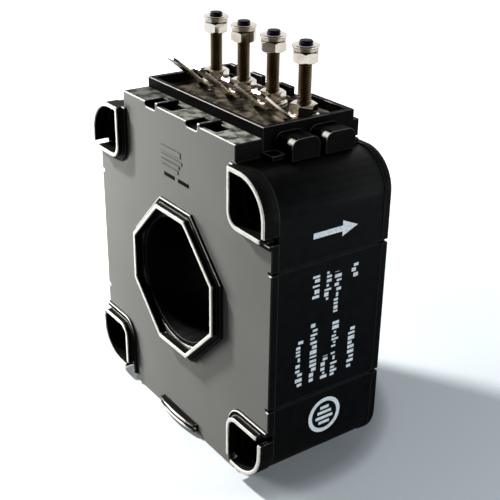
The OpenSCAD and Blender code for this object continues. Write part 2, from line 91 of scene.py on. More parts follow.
# Depths between which a painted tone grows from none to full: the plate's sheen, the rims' highlight and
# the edges' highlight
PLATE_SHEEN_BACK = (1.2 * MM, 0.9 * MM)
PLATE_SHEEN_FRONT = (-0.5 * MM, -0.3 * MM)
RIM_HIGHLIGHT_DEPTHS = (-1.6 * MM, -2.2 * MM)
EDGE_HIGHLIGHT_DEPTHS = (-2.2 * MM, -2.4 * MM)

# Directions that a painted tone looks for on the surface, and the cosines between which it grows: forward
# for the plate's sheen and the rims' highlight, up for the dusty tone and light on the tops, up and forward
# for the highlights on lugs and edges
FRONT = (0, -1, 0)
FRONT_FACING = (0.6, 0.95)
UP = (0, 0, 1)
UP_FACING = (0.75, 0.97)
SPOT_SIDE = (0, -0.7, 0.7)
SPOT_FACING = (0.93, 0.97)
EDGE_HIGHLIGHT_SIDE = (-0.3, -0.6, 0.74)
EDGE_HIGHLIGHT_FACING = (0.48, 0.7)

# Dusty tone and painted light on the tops: its fade in height, its heights round the ledge, and where along
# X it grows
DUST_AND_LIGHT_FADE = 0.2 * MM
DUST_AND_LIGHT_BELOW = 0.4 * MM
COVER_DUST_AND_LIGHT_ABOVE = 1.2 * MM
TRAY_DUST_AND_LIGHT_ABOVE = 0.4 * MM
DUST_AND_LIGHT_SPAN = (-50 * MM, 15 * MM)

# The painted highlights on the lugs start this far inside the right side
SPOT_INSET = 12 * MM
SPOT_FADE = 0.4 * MM

# Scales of the noises in the plastics
CLOUD_SCALE = 38
SPECK_SCALE = 290
GRAIN_SCALE = 900
# Scales of the noises on edges with painted highlights, of the stains on metal, on the studs' ends and in
# the print
EDGE_HIGHLIGHT_SCALE = 420
STAIN_SCALE = 160
CUT_SCALE = 700
WEAR_SCALE = 1400

# Radii of the edges, the angle from which an edge is one, and the angle up to which faces are one plane
EDGE_RADIUS = 0.3 * MM
FINE_EDGE_RADIUS = 0.2 * MM
METAL_EDGE_RADIUS = 0.12 * MM
EDGE_ANGLE = math.radians(28)
FLAT_ANGLE = math.radians(0.6)

# Studs with a metric coarse M4 thread
STUD_NUMBERS = range(1, 5)
STUD_RADIUS = 2.0 * MM
THREAD_PITCH = 0.7 * MM
THREAD_DEPTH = 0.3 * MM
THREAD_SIDES = 36
# How far each row of one turn stands out, as a share of the thread's depth
THREAD_PROFILE = [0.0, 0.85, 1.0, 0.15]
STUD_CHAMFER = 0.25 * MM
# Below the stud's end, the blue tint grows between these depths
TINT_DEPTH = (0.7 * MM, 0.9 * MM)

# Turns of the upper nuts in degrees, as the solids have them
NUT_TURNS = [21, 14, 31, 22]
# Corners of the hexagons: the chamfer's angle, and its inner end as a share of half the width
HEX_CHAMFER = math.radians(33)
HEX_ROUND = 0.92
HEX_STEPS = 16
# Radius of the middle of a hexagon without a bore, so small that its points merge
SOLID_MIDDLE = 0.0001 * MM
BORE_CHAMFER = 0.35 * MM
BORE_GAP = 0.05 * MM
HEAD_HEIGHT = 2.6 * MM

# Washers: steps of the rings, and how far the middle of a rounding lies from its ends, as a share of it
WASHER_STEPS = 64
ROUNDING_SHARE = 0.3
SPRING_STEPS = 60
# Split of a spring washer: its gap and its direction in radians, and its lift as a share of the height
SPRING_GAP = 0.16
SPRING_DIRECTION = TURN / 8
SPRING_LIFT = 0.16

# Thickness of the front cover behind its front face, and of the tray's floor over the stud heads
COVER_THICKNESS = 2.5 * MM
TRAY_FLOOR = 2.2 * MM

# Print on the right side
PRINT_THICKNESS = 0.03 * MM
PRINT_SEED = 11
# Columns of bars in mm: depth behind the front face, low end and high end
PRINT_COLUMNS = [(9.4, 34.8, 50.0), (14.4, 34.9, 54.0), (14.4, 61.8, 68.8), (18.6, 34.5, 42.0),
                 (18.6, 60.2, 69.0), (22.2, 34.4, 42.2), (22.2, 44.0, 52.5), (22.2, 55.4, 68.2),
                 (28.4, 35.0, 48.8), (28.2, 64.8, 69.0)]
# Width of a column, and the least and greatest height of its bars and of the gaps between them
COLUMN_WIDTH = 2.4
COLUMN_BARS = (0.6, 1.3)
COLUMN_GAPS = (0.4, 0.8)
# What a bar may be shorter by at its left and right end, drawn by chance
LEFT_CUTS = (0.0, 0.0, 0.7)
RIGHT_CUTS = (0.0, 0.0, 0.9)
# Height above the ring's middle and half the length of each bar in it, and half the height of all
RING_BARS = [(-2.6, 2.0), (-0.9, 3.2), (0.9, 2.6), (2.6, 1.6)]
RING_BAR_HALF = 0.5
RING_STEPS = 48

RELIEF_THICKNESS = 0.2 * MM
# Relief on the plate in mm: low edge, high edge, left end and right end of each bar
RELIEF_BARS = [(92.0, 93.6, -8.3, 2.8), (90.0, 90.9, -8.0, 3.6), (88.4, 89.3, -8.3, 2.2),
               (86.8, 87.7, -7.6, 1.4)]
# Dark dashes below it in mm: their left ends, low edge, length and height
DASH_LEFTS = [-6.7, 1.2]
DASH_LOW = 84.2
DASH_LENGTH = 6.2
DASH_HEIGHT = 1.2

# Points closer than this are merged: in a new mesh, and in a solid
MERGE_DISTANCE = 0.002 * MM
SOLID_MERGE_DISTANCE = 0.001 * MM
# Shorter edges are taken out of a new mesh
SHORTEST_EDGE = 0.001 * MM
# Angles in degrees up to which neighbouring faces are shaded as one
STUD_SHADE_ANGLE = 40
RING_SHADE_ANGLE = 35
RELIEF_SHADE_ANGLE = 30

case_low, case_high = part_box("case")
stud_low, stud_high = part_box("terminal_stud_1")
front_y = case_low.y - COVER_THICKNESS
spot_x = case_high.x - SPOT_INSET
ledge_z = stud_low.z + HEAD_HEIGHT + TRAY_FLOOR


# Helpers for meshes

def link(mesh, name, slot, *looks):
    """Puts a mesh in the scene as a piece that rides on the body."""
    piece = bpy.data.objects.new(name, mesh)
    bpy.context.scene.collection.objects.link(piece)
    for look in looks:
        mesh.materials.append(look)
    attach(piece, "root")
    return piece


def mesh_from(name, verts, faces):
    """A mesh with doubled points merged, smooth shaded."""
    mesh = bpy.data.meshes.new(name)
    mesh.from_pydata(verts, [], faces)
    work = bmesh.new()
    work.from_mesh(mesh)
    bmesh.ops.remove_doubles(work, verts=work.verts, dist=MERGE_DISTANCE)
    bmesh.ops.dissolve_degenerate(work, edges=work.edges, dist=SHORTEST_EDGE)
    work.to_mesh(mesh)
    work.free()
    for polygon in mesh.polygons:
        polygon.use_smooth = True
    return mesh


def shade_by_angle(mesh, degrees):
    """Marks the edges sharper than an angle, so that smooth shading stops there."""
    work = bmesh.new()
    work.from_mesh(mesh)
    limit = math.radians(degrees)
    for edge in work.edges:
        edge.smooth = len(edge.link_faces) == 2 and edge.calc_face_angle() < limit
    work.to_mesh(mesh)
    work.free()


def joined(parts):
    """Joins lists of points and faces into one."""
    verts = []
    faces = []
    for part_verts, part_faces in parts:
        start = len(verts)
        verts += part_verts
        faces += [tuple(start + i for i in face) for face in part_faces]
    return verts, faces


def ring_faces(count, steps):
    """Faces between the closed profiles of neighbouring steps round an axis.

    They look out where a profile runs outward at its low side and back at its high side.
    """
    faces = []
    for step in range(steps):
        ahead = (step + 1) % steps
        for i in range(count):
            j = (i + 1) % count
            faces.append((step * count + j, step * count + i, ahead * count + i, ahead * count + j))
    return faces


def around(place, radius, angle, height):
    """A point at a radius and an angle round a vertical axis."""
    return place + Vector((radius * math.cos(angle), radius * math.sin(angle), height))


def prism(outline, low, high, point):
    """Closed solid over an outline that runs counterclockwise, between two levels.

    point(a, b, level) places its corners.
    """
    count = len(outline)
    verts = [point(a, b, level) for level in (low, high) for a, b in outline]
    faces = [tuple(range(count - 1, -1, -1)), tuple(range(count, 2 * count))]
    for i in range(count):
        j = (i + 1) % count
        faces.append((i, j, count + j, count + i))
    return verts, faces


# Materials

def material(name):
    """A new node material: the material, its nodes, its links and its principled shader."""
    made = bpy.data.materials.new(name)
    made.use_nodes = True
    return made, made.node_tree.nodes, made.node_tree.links, made.node_tree.nodes["Principled BSDF"]


def scaled(colour, factor):
    """A colour times a factor."""
    return tuple(c * factor for c in colour)


def grey(value):
    """A value as a colour."""
    return (value, value, value)


def noise_texture(tree_nodes, links, scale, detail=4.0, rough=0.55, stretch=(1, 1, 1)):
    """A noise texture in object space, stretched along the axes."""
    place = tree_nodes.new("ShaderNodeTexCoord")
    mapping = tree_nodes.new("ShaderNodeMapping")
    mapping.inputs["Scale"].default_value = stretch
    texture = tree_nodes.new("ShaderNodeTexNoise")
    texture.inputs["Scale"].default_value = scale
    texture.inputs["Detail"].default_value = detail
    texture.inputs["Roughness"].default_value = rough
    links.new(place.outputs["Object"], mapping.inputs["Vector"])
    links.new(mapping.outputs["Vector"], texture.inputs["Vector"])
    return texture.outputs["Fac"]


def ramp(tree_nodes, links, source, low, high, dark, light):
    """A colour between two colours, as the source goes from low to high."""
    node = tree_nodes.new("ShaderNodeValToRGB")
    node.color_ramp.elements[0].position = low
    node.color_ramp.elements[1].position = high
    node.color_ramp.elements[0].color = (*dark, 1)
    node.color_ramp.elements[1].color = (*light, 1)
    links.new(source, node.inputs["Fac"])
    return node.outputs["Color"]


def mix(tree_nodes, links, factor, first, second):
    """Mixes two colours by a factor."""
    node = tree_nodes.new("ShaderNodeMix")
    node.data_type = "RGBA"
    links.new(factor, node.inputs[0])
    links.new(first, node.inputs[6])
    links.new(second, node.inputs[7])
    return node.outputs[2]


def times(tree_nodes, links, first, second):
    """Multiplies two values."""
    node = tree_nodes.new("ShaderNodeMath")
    node.operation = "MULTIPLY"
    links.new(first, node.inputs[0])
    links.new(second, node.inputs[1])
    return node.outputs[0]


def between(tree_nodes, links, source, low, high):
    """0 to 1 as the source goes from low to high."""
    span = tree_nodes.new("ShaderNodeMapRange")
    span.inputs["From Min"].default_value = low
    span.inputs["From Max"].default_value = high
    links.new(source, span.inputs["Value"])
    return span.outputs["Result"]


def constant(tree_nodes, colour):
    """One colour as a source."""
    node = tree_nodes.new("ShaderNodeRGB")
    node.outputs[0].default_value = (*colour, 1)
    return node.outputs[0]


def stops(tree_nodes, links, source, places):
    """A colour that follows the source through a list of places and colours."""
    node = tree_nodes.new("ShaderNodeValToRGB")
    for i, (place, colour) in enumerate(places):
        stop = node.color_ramp.elements[i] if i < 2 else node.color_ramp.elements.new(place)
        stop.position = place
        stop.color = (*colour, 1)
    links.new(source, node.inputs["Fac"])
    return node.outputs["Color"]


def dot_with(tree_nodes, links, source, axis):
    """Dot product of a direction with an axis."""
    dot = tree_nodes.new("ShaderNodeVectorMath")
    dot.operation = "DOT_PRODUCT"
    dot.inputs[1].default_value = axis
    links.new(source, dot.inputs[0])
    return dot.outputs["Value"]


def facing(tree_nodes, links, axis, low, high):
    """0 to 1 as the surface turns towards an axis of the object."""
    normal = tree_nodes.new("ShaderNodeNewGeometry").outputs["True Normal"]
    return between(tree_nodes, links, dot_with(tree_nodes, links, normal, axis), low, high)


def along(tree_nodes, links, axis, low, high):
    """0 to 1 as the place on the object goes from low to high along X, Y or Z."""
    place = tree_nodes.new("ShaderNodeTexCoord")
    split = tree_nodes.new("ShaderNodeSeparateXYZ")
    links.new(place.outputs["Object"], split.inputs[0])
    return between(tree_nodes, links, split.outputs[axis], low, high)


def add_bump(tree_nodes, links, shader, source, strength, distance):
    """Small unevenness of the surface from a noise."""
    bump = tree_nodes.new("ShaderNodeBump")
    bump.inputs["Strength"].default_value = strength
    bump.inputs["Distance"].default_value = distance
    links.new(source, bump.inputs["Height"])
    links.new(bump.outputs["Normal"], shader.inputs["Normal"])


def add_rough(tree_nodes, links, shader, source, low, high):
    """Roughness that varies between two values with a noise."""
    links.new(ramp(tree_nodes, links, source, 0.3, 0.7, grey(low), grey(high)), shader.inputs["Roughness"])


def in_depth(tree_nodes, links, limits):
    """0 to 1 between two depths from the front face."""
    return along(tree_nodes, links, 1, front_y + limits[0], front_y + limits[1])


def with_plate_sheen(tree_nodes, links, colour, front, cloud):
    """Adds painted sheen: faces of the plate that look forward get a grey that stands in for light on the
    black plastic. The faces of the steps on it stay dark.
    """
    tone = ramp(tree_nodes, links, cloud, 0.3, 0.7, scaled(front, 0.94), scaled(front, 1.06))
    level = times(tree_nodes, links, in_depth(tree_nodes, links, PLATE_SHEEN_BACK),
                  in_depth(tree_nodes, links, PLATE_SHEEN_FRONT))
    place = times(tree_nodes, links, facing(tree_nodes, links, FRONT, *FRONT_FACING), level)
    return mix(tree_nodes, links, place, colour, tone)


def with_rim_highlights(tree_nodes, links, colour, rim_highlight, speck):
    """Adds painted highlights on the fronts of the rims, mottled by specks."""
    tone = ramp(tree_nodes, links, speck, 0.3, 0.55, scaled(rim_highlight, 0.75), rim_highlight)
    place = times(tree_nodes, links, facing(tree_nodes, links, FRONT, *FRONT_FACING),
                  in_depth(tree_nodes, links, RIM_HIGHLIGHT_DEPTHS))
    return mix(tree_nodes, links, place, colour, tone)


def with_dust_and_top_light(tree_nodes, links, colour, dust_and_light, above, speck):
    """Adds a dusty beige on what faces up that also paints light on the tops, from below the ledge to above
    it, and more towards the right.
    """
    low = ledge_z - DUST_AND_LIGHT_BELOW
    high = ledge_z + above
    tone = ramp(tree_nodes, links, speck, 0.42, 0.6, scaled(dust_and_light, 0.12), dust_and_light)
    place = times(tree_nodes, links, facing(tree_nodes, links, UP, *UP_FACING),
                  along(tree_nodes, links, 2, low - DUST_AND_LIGHT_FADE, low))
    place = times(tree_nodes, links, place, along(tree_nodes, links, 2, high + DUST_AND_LIGHT_FADE, high))
    place = times(tree_nodes, links, place, along(tree_nodes, links, 0, *DUST_AND_LIGHT_SPAN))
    return mix(tree_nodes, links, place, colour, tone)


def with_lug_highlights(tree_nodes, links, colour, spot):
    """Adds a painted highlight on the upper front rounding of each lug."""
    place = times(tree_nodes, links, facing(tree_nodes, links, SPOT_SIDE, *SPOT_FACING),
                  along(tree_nodes, links, 0, spot_x, spot_x + SPOT_FADE))
    return mix(tree_nodes, links, place, colour, constant(tree_nodes, spot))


def moulded(name, side, roughness, gloss, front=None, rim_highlight=None, dust_and_light=None, dust_and_light_above=0.0, spot=None):
    """Moulded plastic: dark and finely speckled, with each tone that is given laid over it: painted sheen
    on the plate, painted highlights on the rims and lugs, and a dusty tone with painted light on the tops.
    """
    made, tree_nodes, links, shader = material(name)
    cloud = noise_texture(tree_nodes, links, CLOUD_SCALE, 3.0, 0.5)
    speck = noise_texture(tree_nodes, links, SPECK_SCALE, 5.0, 0.6)
    colour = ramp(tree_nodes, links, speck, 0.35, 0.75, scaled(side, 0.8), scaled(side, 1.5))
    if front:
        colour = with_plate_sheen(tree_nodes, links, colour, front, cloud)
    if rim_highlight:
        colour = with_rim_highlights(tree_nodes, links, colour, rim_highlight, speck)
    if dust_and_light:
        colour = with_dust_and_top_light(tree_nodes, links, colour, dust_and_light, dust_and_light_above, speck)
    if spot:
        colour = with_lug_highlights(tree_nodes, links, colour, spot)
    links.new(colour, shader.inputs["Base Color"])
    add_rough(tree_nodes, links, shader, cloud, roughness - 0.05, roughness + 0.06)
    grain = noise_texture(tree_nodes, links, GRAIN_SCALE, 2.0, 0.5)
    add_bump(tree_nodes, links, shader, grain, 0.12, 0.05 * MM)
    shader.inputs["Specular IOR Level"].default_value = gloss
    return made


def edge_with_painted_highlight(name, bright, dark, bands=None, roughness=0.35):
    """Edge of a moulding: a painted highlight where it faces up and forward, dark elsewhere.

    With bands the painted highlight lies in these depths only, and all round on the foremost rims.
    """
    made, tree_nodes, links, shader = material(name)
    speck = noise_texture(tree_nodes, links, EDGE_HIGHLIGHT_SCALE, 4.0, 0.6)
    shine = ramp(tree_nodes, links, speck, 0.3, 0.6, scaled(bright, 0.7), bright)
    plain = ramp(tree_nodes, links, speck, 0.3, 0.6, scaled(dark, 0.6), dark)
    place = facing(tree_nodes, links, EDGE_HIGHLIGHT_SIDE, *EDGE_HIGHLIGHT_FACING)
    if bands:
        depth = along(tree_nodes, links, 1, front_y - BAND_SPAN, front_y + BAND_SPAN)
        tones = [((y + BAND_SPAN) / (2 * BAND_SPAN), grey(value)) for y, value in bands]
        place = times(tree_nodes, links, place, stops(tree_nodes, links, depth, tones))
    colour = mix(tree_nodes, links, place, plain, shine)
    if bands:
        colour = mix(tree_nodes, links, in_depth(tree_nodes, links, EDGE_HIGHLIGHT_DEPTHS), colour, shine)
    links.new(colour, shader.inputs["Base Color"])
    add_rough(tree_nodes, links, shader, speck, roughness, roughness + 0.15)
    add_bump(tree_nodes, links, shader, speck, 0.08, 0.03 * MM)
    shader.inputs["Specular IOR Level"].default_value = 0.15
    return made


def metal(name, colour, roughness, stretch=(1, 1, 1), scale=300, scratch=0.1):
    """Plated metal with faint scratches, stains and uneven gloss."""
    made, tree_nodes, links, shader = material(name)
    stain = noise_texture(tree_nodes, links, STAIN_SCALE, 4.0, 0.6)
    fine = noise_texture(tree_nodes, links, scale, 6.0, 0.65, stretch)
    stained = (colour[0] * 0.72, colour[1] * 0.66, colour[2] * 0.58)
    links.new(ramp(tree_nodes, links, stain, 0.32, 0.66, stained, colour), shader.inputs["Base Color"])
    add_rough(tree_nodes, links, shader, fine, max(0.04, roughness - 0.07), roughness + 0.1)
    shader.inputs["Metallic"].default_value = 1.0
    add_bump(tree_nodes, links, shader, fine, scratch, 0.02 * MM)
    return made


def cut_end(name, dark, tint):
    """Stud end in near black, with a blue tint low on its side."""
    made, tree_nodes, links, shader = material(name)
    fine = noise_texture(tree_nodes, links, CUT_SCALE, 4.0, 0.6)
    tone = ramp(tree_nodes, links, fine, 0.35, 0.65, scaled(dark, 0.6), dark)
    low = along(tree_nodes, links, 2, stud_high.z - TINT_DEPTH[0], stud_high.z - TINT_DEPTH[1])
    links.new(mix(tree_nodes, links, low, tone, constant(tree_nodes, tint)), shader.inputs["Base Color"])
    add_rough(tree_nodes, links, shader, fine, 0.4, 0.55)
    add_bump(tree_nodes, links, shader, fine, 0.2, 0.02 * MM)
    shader.inputs["Specular IOR Level"].default_value = 0.1
    return made


def inner(name, colour, variation, scale, roughness, metallic=0.0, stretch=(1, 1, 1), bump=0.2):
    """Material of a hidden part: its colour with clouds, or with stripes where it is stretched."""
    made, tree_nodes, links, shader = material(name)
    texture = noise_texture(tree_nodes, links, scale, 4.0, 0.6, stretch)
    tone = ramp(tree_nodes, links, texture, 0.35, 0.65, scaled(colour, 1 - variation), colour)
    links.new(tone, shader.inputs["Base Color"])
    add_rough(tree_nodes, links, shader, texture, roughness, roughness + 0.1)
    shader.inputs["Metallic"].default_value = metallic
    add_bump(tree_nodes, links, shader, texture, bump, 0.05 * MM)
    return made


def print_ink(name, colour):
    """White print with worn spots."""
    made, tree_nodes, links, shader = material(name)
    wear = noise_texture(tree_nodes, links, WEAR_SCALE, 3.0, 0.6)
    tone = ramp(tree_nodes, links, wear, 0.36, 0.56, scaled(colour, 0.75), colour)
    links.new(tone, shader.inputs["Base Color"])
    add_rough(tree_nodes, links, shader, wear, 0.5, 0.7)
    add_bump(tree_nodes, links, shader, wear, 0.1, 0.02 * MM)
    return made


# Colours of the mouldings. The plate's grey is painted sheen, the near white of the rims and the lugs'
# spots is painted highlight, and the dusty colours also paint light on the tops
COVER_SIDE = (0.004, 0.004, 0.004)
COVER_FRONT_SHEEN = (0.17, 0.173, 0.163)
COVER_RIM_HIGHLIGHT = (0.8, 0.79, 0.74)
COVER_DUST_AND_LIGHT = (0.38, 0.39, 0.34)
CASE_SIDE = (0.0028, 0.0033, 0.0036)
TRAY_SIDE = (0.003, 0.003, 0.003)
TRAY_LUG_HIGHLIGHT = (0.9, 0.86, 0.8)
TRAY_DUST_AND_LIGHT = (0.24, 0.205, 0.155)

cover_plastic = moulded("cover_plastic", COVER_SIDE, 0.5, 0.06, COVER_FRONT_SHEEN, COVER_RIM_HIGHLIGHT, COVER_DUST_AND_LIGHT,
                        COVER_DUST_AND_LIGHT_ABOVE)
case_plastic = moulded("case_plastic", CASE_SIDE, 0.5, 0.09)
tray_plastic = moulded("tray_plastic", TRAY_SIDE, 0.42, 0.02, dust_and_light=TRAY_DUST_AND_LIGHT, dust_and_light_above=TRAY_DUST_AND_LIGHT_ABOVE,
                       spot=TRAY_LUG_HIGHLIGHT)
sleeve_plastic = moulded("sleeve_plastic", TRAY_SIDE, 0.4, 0.1)
# Edge colours: the bright one is a painted highlight where an edge faces up and forward, the dark one is
# the plastic's own
cover_edge = edge_with_painted_highlight("cover_edge", (0.85, 0.84, 0.78), (0.02, 0.02, 0.02), EDGE_HIGHLIGHT_BANDS)
case_edge = edge_with_painted_highlight("case_edge", (0.04, 0.042, 0.042), (0.015, 0.016, 0.016))
tray_edge = edge_with_painted_highlight("tray_edge", (0.5, 0.46, 0.44), (0.02, 0.02, 0.02))
nickel = metal("nickel", (0.8, 0.77, 0.72), 0.09)
# The threads get a dark brown copy of the nickel: painted shade for the dark that they mirror
thread_metal_painted_dark = metal("thread_metal_painted_dark", (0.2, 0.155, 0.1), 0.16)
cut_metal = cut_end("cut_metal", (0.003, 0.003, 0.004), (0.006, 0.012, 0.12))
tinned = metal("tinned", (0.84, 0.8, 0.7), 0.22, (1, 0.15, 1), 900, 0.15)
spring_steel = metal("spring_steel", (0.6, 0.57, 0.52), 0.25)
white_ink = print_ink("white_ink", (0.72, 0.78, 0.82))

INNER_LOOKS = {
    "magnetic_core": inner("core_steel", (0.42, 0.43, 0.45), 0.3, 60, 0.35, 1.0, (1, 12, 1), 0.3),
    "winding_former": inner("former_plastic", (0.75, 0.72, 0.62), 0.1, 80, 0.45),
    "secondary_winding": inner("copper", (0.66, 0.3, 0.13), 0.4, 90, 0.3, 1.0, (1, 14, 1), 0.6),
    "hall_element": inner("chip", (0.02, 0.02, 0.022), 0.3, 500, 0.5),
    "hall_carrier": inner("board", (0.03, 0.18, 0.08), 0.25, 300, 0.35),
    "circuit_board": inner("board_green", (0.03, 0.18, 0.08), 0.25, 300, 0.35),
    "power_transistors": inner("transistor_epoxy", (0.02, 0.02, 0.022), 0.3, 500, 0.5),
    "capacitors": inner("capacitor_sleeve", (0.04, 0.06, 0.2), 0.2, 200, 0.3),
    "stud_leads": inner("lead_tin", (0.75, 0.73, 0.68), 0.15, 300, 0.3, 1.0),
}


def dress(name, main, edge, radius):
    """Gives a solid its material, and its edges a true radius in a second material."""
    solid = nodes[name]
    solid.data.materials.clear()
    solid.data.materials.append(main)
    solid.data.materials.append(edge)
    for polygon in solid.data.polygons:
        polygon.material_index = 0
    merge = solid.modifiers.new("merge", "WELD")
    merge.merge_threshold = SOLID_MERGE_DISTANCE
    flat = solid.modifiers.new("flat", "DECIMATE")
    flat.decimate_type = "DISSOLVE"
    flat.angle_limit = FLAT_ANGLE
    bevel = solid.modifiers.new("edge", "BEVEL")
    bevel.width = radius
    bevel.segments = 2
    bevel.limit_method = "ANGLE"
    bevel.angle_limit = EDGE_ANGLE
    bevel.use_clamp_overlap = False
    bevel.material = 1
    bevel.harden_normals = True
    bevel.miter_outer = "MITER_ARC"


dress("front_cover", cover_plastic, cover_edge, EDGE_RADIUS)
dress("case", case_plastic, case_edge, FINE_EDGE_RADIUS)
dress("rear_cover", case_plastic, case_edge, EDGE_RADIUS)
dress("primary_sleeve", sleeve_plastic, case_edge, FINE_EDGE_RADIUS)
dress("terminal_tray", tray_plastic, tray_edge, FINE_EDGE_RADIUS)
for number in STUD_NUMBERS:
    dress(f"blade_tab_{number}", tinned, nickel, METAL_EDGE_RADIUS)
for name, look in INNER_LOOKS.items():
    nodes[name].data.materials.clear()
    nodes[name].data.materials.append(look)


# Terminal hardware

def hex_radius(angle, flat):
    """Distance from the middle to the side of a hexagon with a corner at angle 0."""
    sector = TURN / 6
    return flat / math.cos(angle % sector - sector / 2)


def hex_piece(low, high, flat, bore, place, turn=0.0):
    """Hexagon with chamfered corners and, where bore is more than 0, a chamfered bore."""
    round_r = flat * HEX_ROUND
    inner_r = bore if bore > 0 else SOLID_MIDDLE
    mouth_drop = BORE_CHAMFER if bore > 0 else 0
    verts = []
    steps = 6 * HEX_STEPS
    for step in range(steps):
        angle = TURN * step / steps
        radius = hex_radius(angle, flat)
        drop = max(0.0, radius - round_r) * math.tan(HEX_CHAMFER)
        flat_r = min(radius, round_r)
        profile = [(inner_r, low + mouth_drop), (inner_r + mouth_drop, low), (flat_r, low),
                   (radius, low + drop), (radius, high - drop), (flat_r, high),
                   (inner_r + mouth_drop, high), (inner_r, high - mouth_drop)]
        verts += [around(place, r, angle + math.radians(turn), h) for r, h in profile]
    return verts, ring_faces(len(profile), steps)


def threaded_rod(radius, low, high, place):
    """Rod with a true helical thread and a chamfer at its upper end."""
    rows_per_turn = len(THREAD_PROFILE)
    turns = int((high - low) / THREAD_PITCH) + 2
    rows = turns * rows_per_turn + 1
    verts = []
    faces = []
    for step in range(THREAD_SIDES + 1):
        angle = TURN * step / THREAD_SIDES
        for row in range(rows):
            height = low - THREAD_PITCH + (row / rows_per_turn + step / THREAD_SIDES) * THREAD_PITCH
            r = radius - THREAD_DEPTH * (1 - THREAD_PROFILE[row % rows_per_turn])
            to_end = high - height
            if to_end < STUD_CHAMFER:
                r = min(r, radius - STUD_CHAMFER * (1 - max(to_end, 0) / STUD_CHAMFER))
            verts.append(around(place, r, angle, min(max(height, low), high)))
    for step in range(THREAD_SIDES):
        for row in range(rows - 1):
            a = step * rows + row
            b = (step + 1) * rows + row
            faces.append((a, b, b + 1, a + 1))
    top_centre = len(verts)
    verts.append(place + Vector((0, 0, high)))
    low_centre = len(verts)
    verts.append(place + Vector((0, 0, low)))
    for step in range(THREAD_SIDES):
        faces.append((step * rows + rows - 1, (step + 1) * rows + rows - 1, top_centre))
        faces.append((step * rows, low_centre, (step + 1) * rows))
    return verts, faces


def washer(low, high, inner_r, outer_r, place):
    """Flat washer with round edges."""
    edge = METAL_EDGE_RADIUS
    slope = ROUNDING_SHARE * edge
    profile = [(inner_r, low + edge), (inner_r + edge, low), (outer_r - edge, low),
               (outer_r - slope, low + slope), (outer_r, low + edge), (outer_r, high - edge),
               (outer_r - slope, high - slope), (outer_r - edge, high), (inner_r + edge, high),
               (inner_r, high - edge)]
    verts = []
    for step in range(WASHER_STEPS):
        verts += [around(place, r, TURN * step / WASHER_STEPS, h) for r, h in profile]
    return verts, ring_faces(len(profile), WASHER_STEPS)


def spring_ring(low, high, inner_r, outer_r, place):
    """Split ring whose two ends stand apart like those of a spring washer."""
    lift = SPRING_LIFT * (high - low)
    thick = high - low - lift
    verts = []
    for step in range(SPRING_STEPS + 1):
        share = step / SPRING_STEPS
        angle = SPRING_GAP / 2 + (TURN - SPRING_GAP) * share + SPRING_DIRECTION
        base = low + lift * share
        for r, h in ((inner_r, base), (outer_r, base), (outer_r, base + thick), (inner_r, base + thick)):
            verts.append(around(place, r, angle, h))
    faces = []
    for start in range(0, SPRING_STEPS * 4, 4):
        for i in range(4):
            j = (i + 1) % 4
            faces.append((start + j, start + i, start + 4 + i, start + 4 + j))
    faces.append((0, 1, 2, 3))
    faces.append(tuple(SPRING_STEPS * 4 + 3 - i for i in range(4)))
    return verts, faces


def stud_axes():
    """The middle of each stud, on the floor's plane."""
    axes = []
    for number in STUD_NUMBERS:
        low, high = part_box(f"terminal_stud_{number}")
        axes.append(Vector(((low.x + high.x) / 2, (low.y + high.y) / 2, 0)))
    return axes


axes = stud_axes()
hex_flat = (stud_high.y - stud_low.y) / 2
washer_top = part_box("upper_washers")[1].z
bore_radius = STUD_RADIUS + BORE_GAP


def make_studs():
    """A threaded rod with a hexagonal head in the place of each stud, with its end near black."""
    for number, axis in enumerate(axes, 1):
        head_top = stud_low.z + HEAD_HEIGHT
        rod = threaded_rod(STUD_RADIUS, head_top, stud_high.z, axis)
        head = hex_piece(stud_low.z, head_top, hex_flat, 0, axis)
        mesh = mesh_from(f"threaded_stud_{number}", *joined([rod, head]))
        shade_by_angle(mesh, STUD_SHADE_ANGLE)
        piece = link(mesh, f"threaded_stud_{number}", "nickel", thread_metal_painted_dark, cut_metal)
        for polygon in mesh.polygons:
            if polygon.center.z > washer_top:
                polygon.material_index = 1
        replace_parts(piece, f"terminal_stud_{number}")


def make_rings(node, name, maker, look, slot):
    """One piece of four solids, one on each stud, that replaces a node."""
    low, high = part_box(node)
    verts, faces = joined([maker(low, high, i, axis) for i, axis in enumerate(axes)])
    mesh = mesh_from(name, verts, faces)
    shade_by_angle(mesh, RING_SHADE_ANGLE)
    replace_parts(link(mesh, name, slot, look), node)


def base_nut(low, high, i, axis):
    """Nut on a blade tab."""
    return hex_piece(low.z, high.z, hex_flat, bore_radius, axis)


def upper_nut(low, high, i, axis):
    """Nut near a stud's end, turned as it came to rest."""
    return hex_piece(low.z, high.z, hex_flat, bore_radius, axis, NUT_TURNS[i])


def flat_washer(low, high, i, axis):
    """Flat washer as wide as those of the node."""
    return washer(low.z, high.z, bore_radius, (high.y - low.y) / 2, axis)


def spring_washer(low, high, i, axis):
    """Split washer as wide as those of the node."""
    return spring_ring(low.z, high.z, bore_radius, (high.y - low.y) / 2, axis)


make_studs()
make_rings("base_nuts", "chamfered_base_nuts", base_nut, nickel, "nickel")
make_rings("upper_nuts", "chamfered_upper_nuts", upper_nut, nickel, "nickel")
make_rings("base_washers", "rounded_base_washers", flat_washer, nickel, "nickel")
make_rings("upper_washers", "rounded_upper_washers", flat_washer, nickel, "nickel")
make_rings("spring_washers", "split_spring_washers", spring_washer, spring_steel, "spring_steel")


# Print on the right side, in depth behind the front face and in height

def side_point(depth, height, level):
    """A point on the right side, raised by the level."""
    return Vector((case_high.x + level, front_y + depth, height))


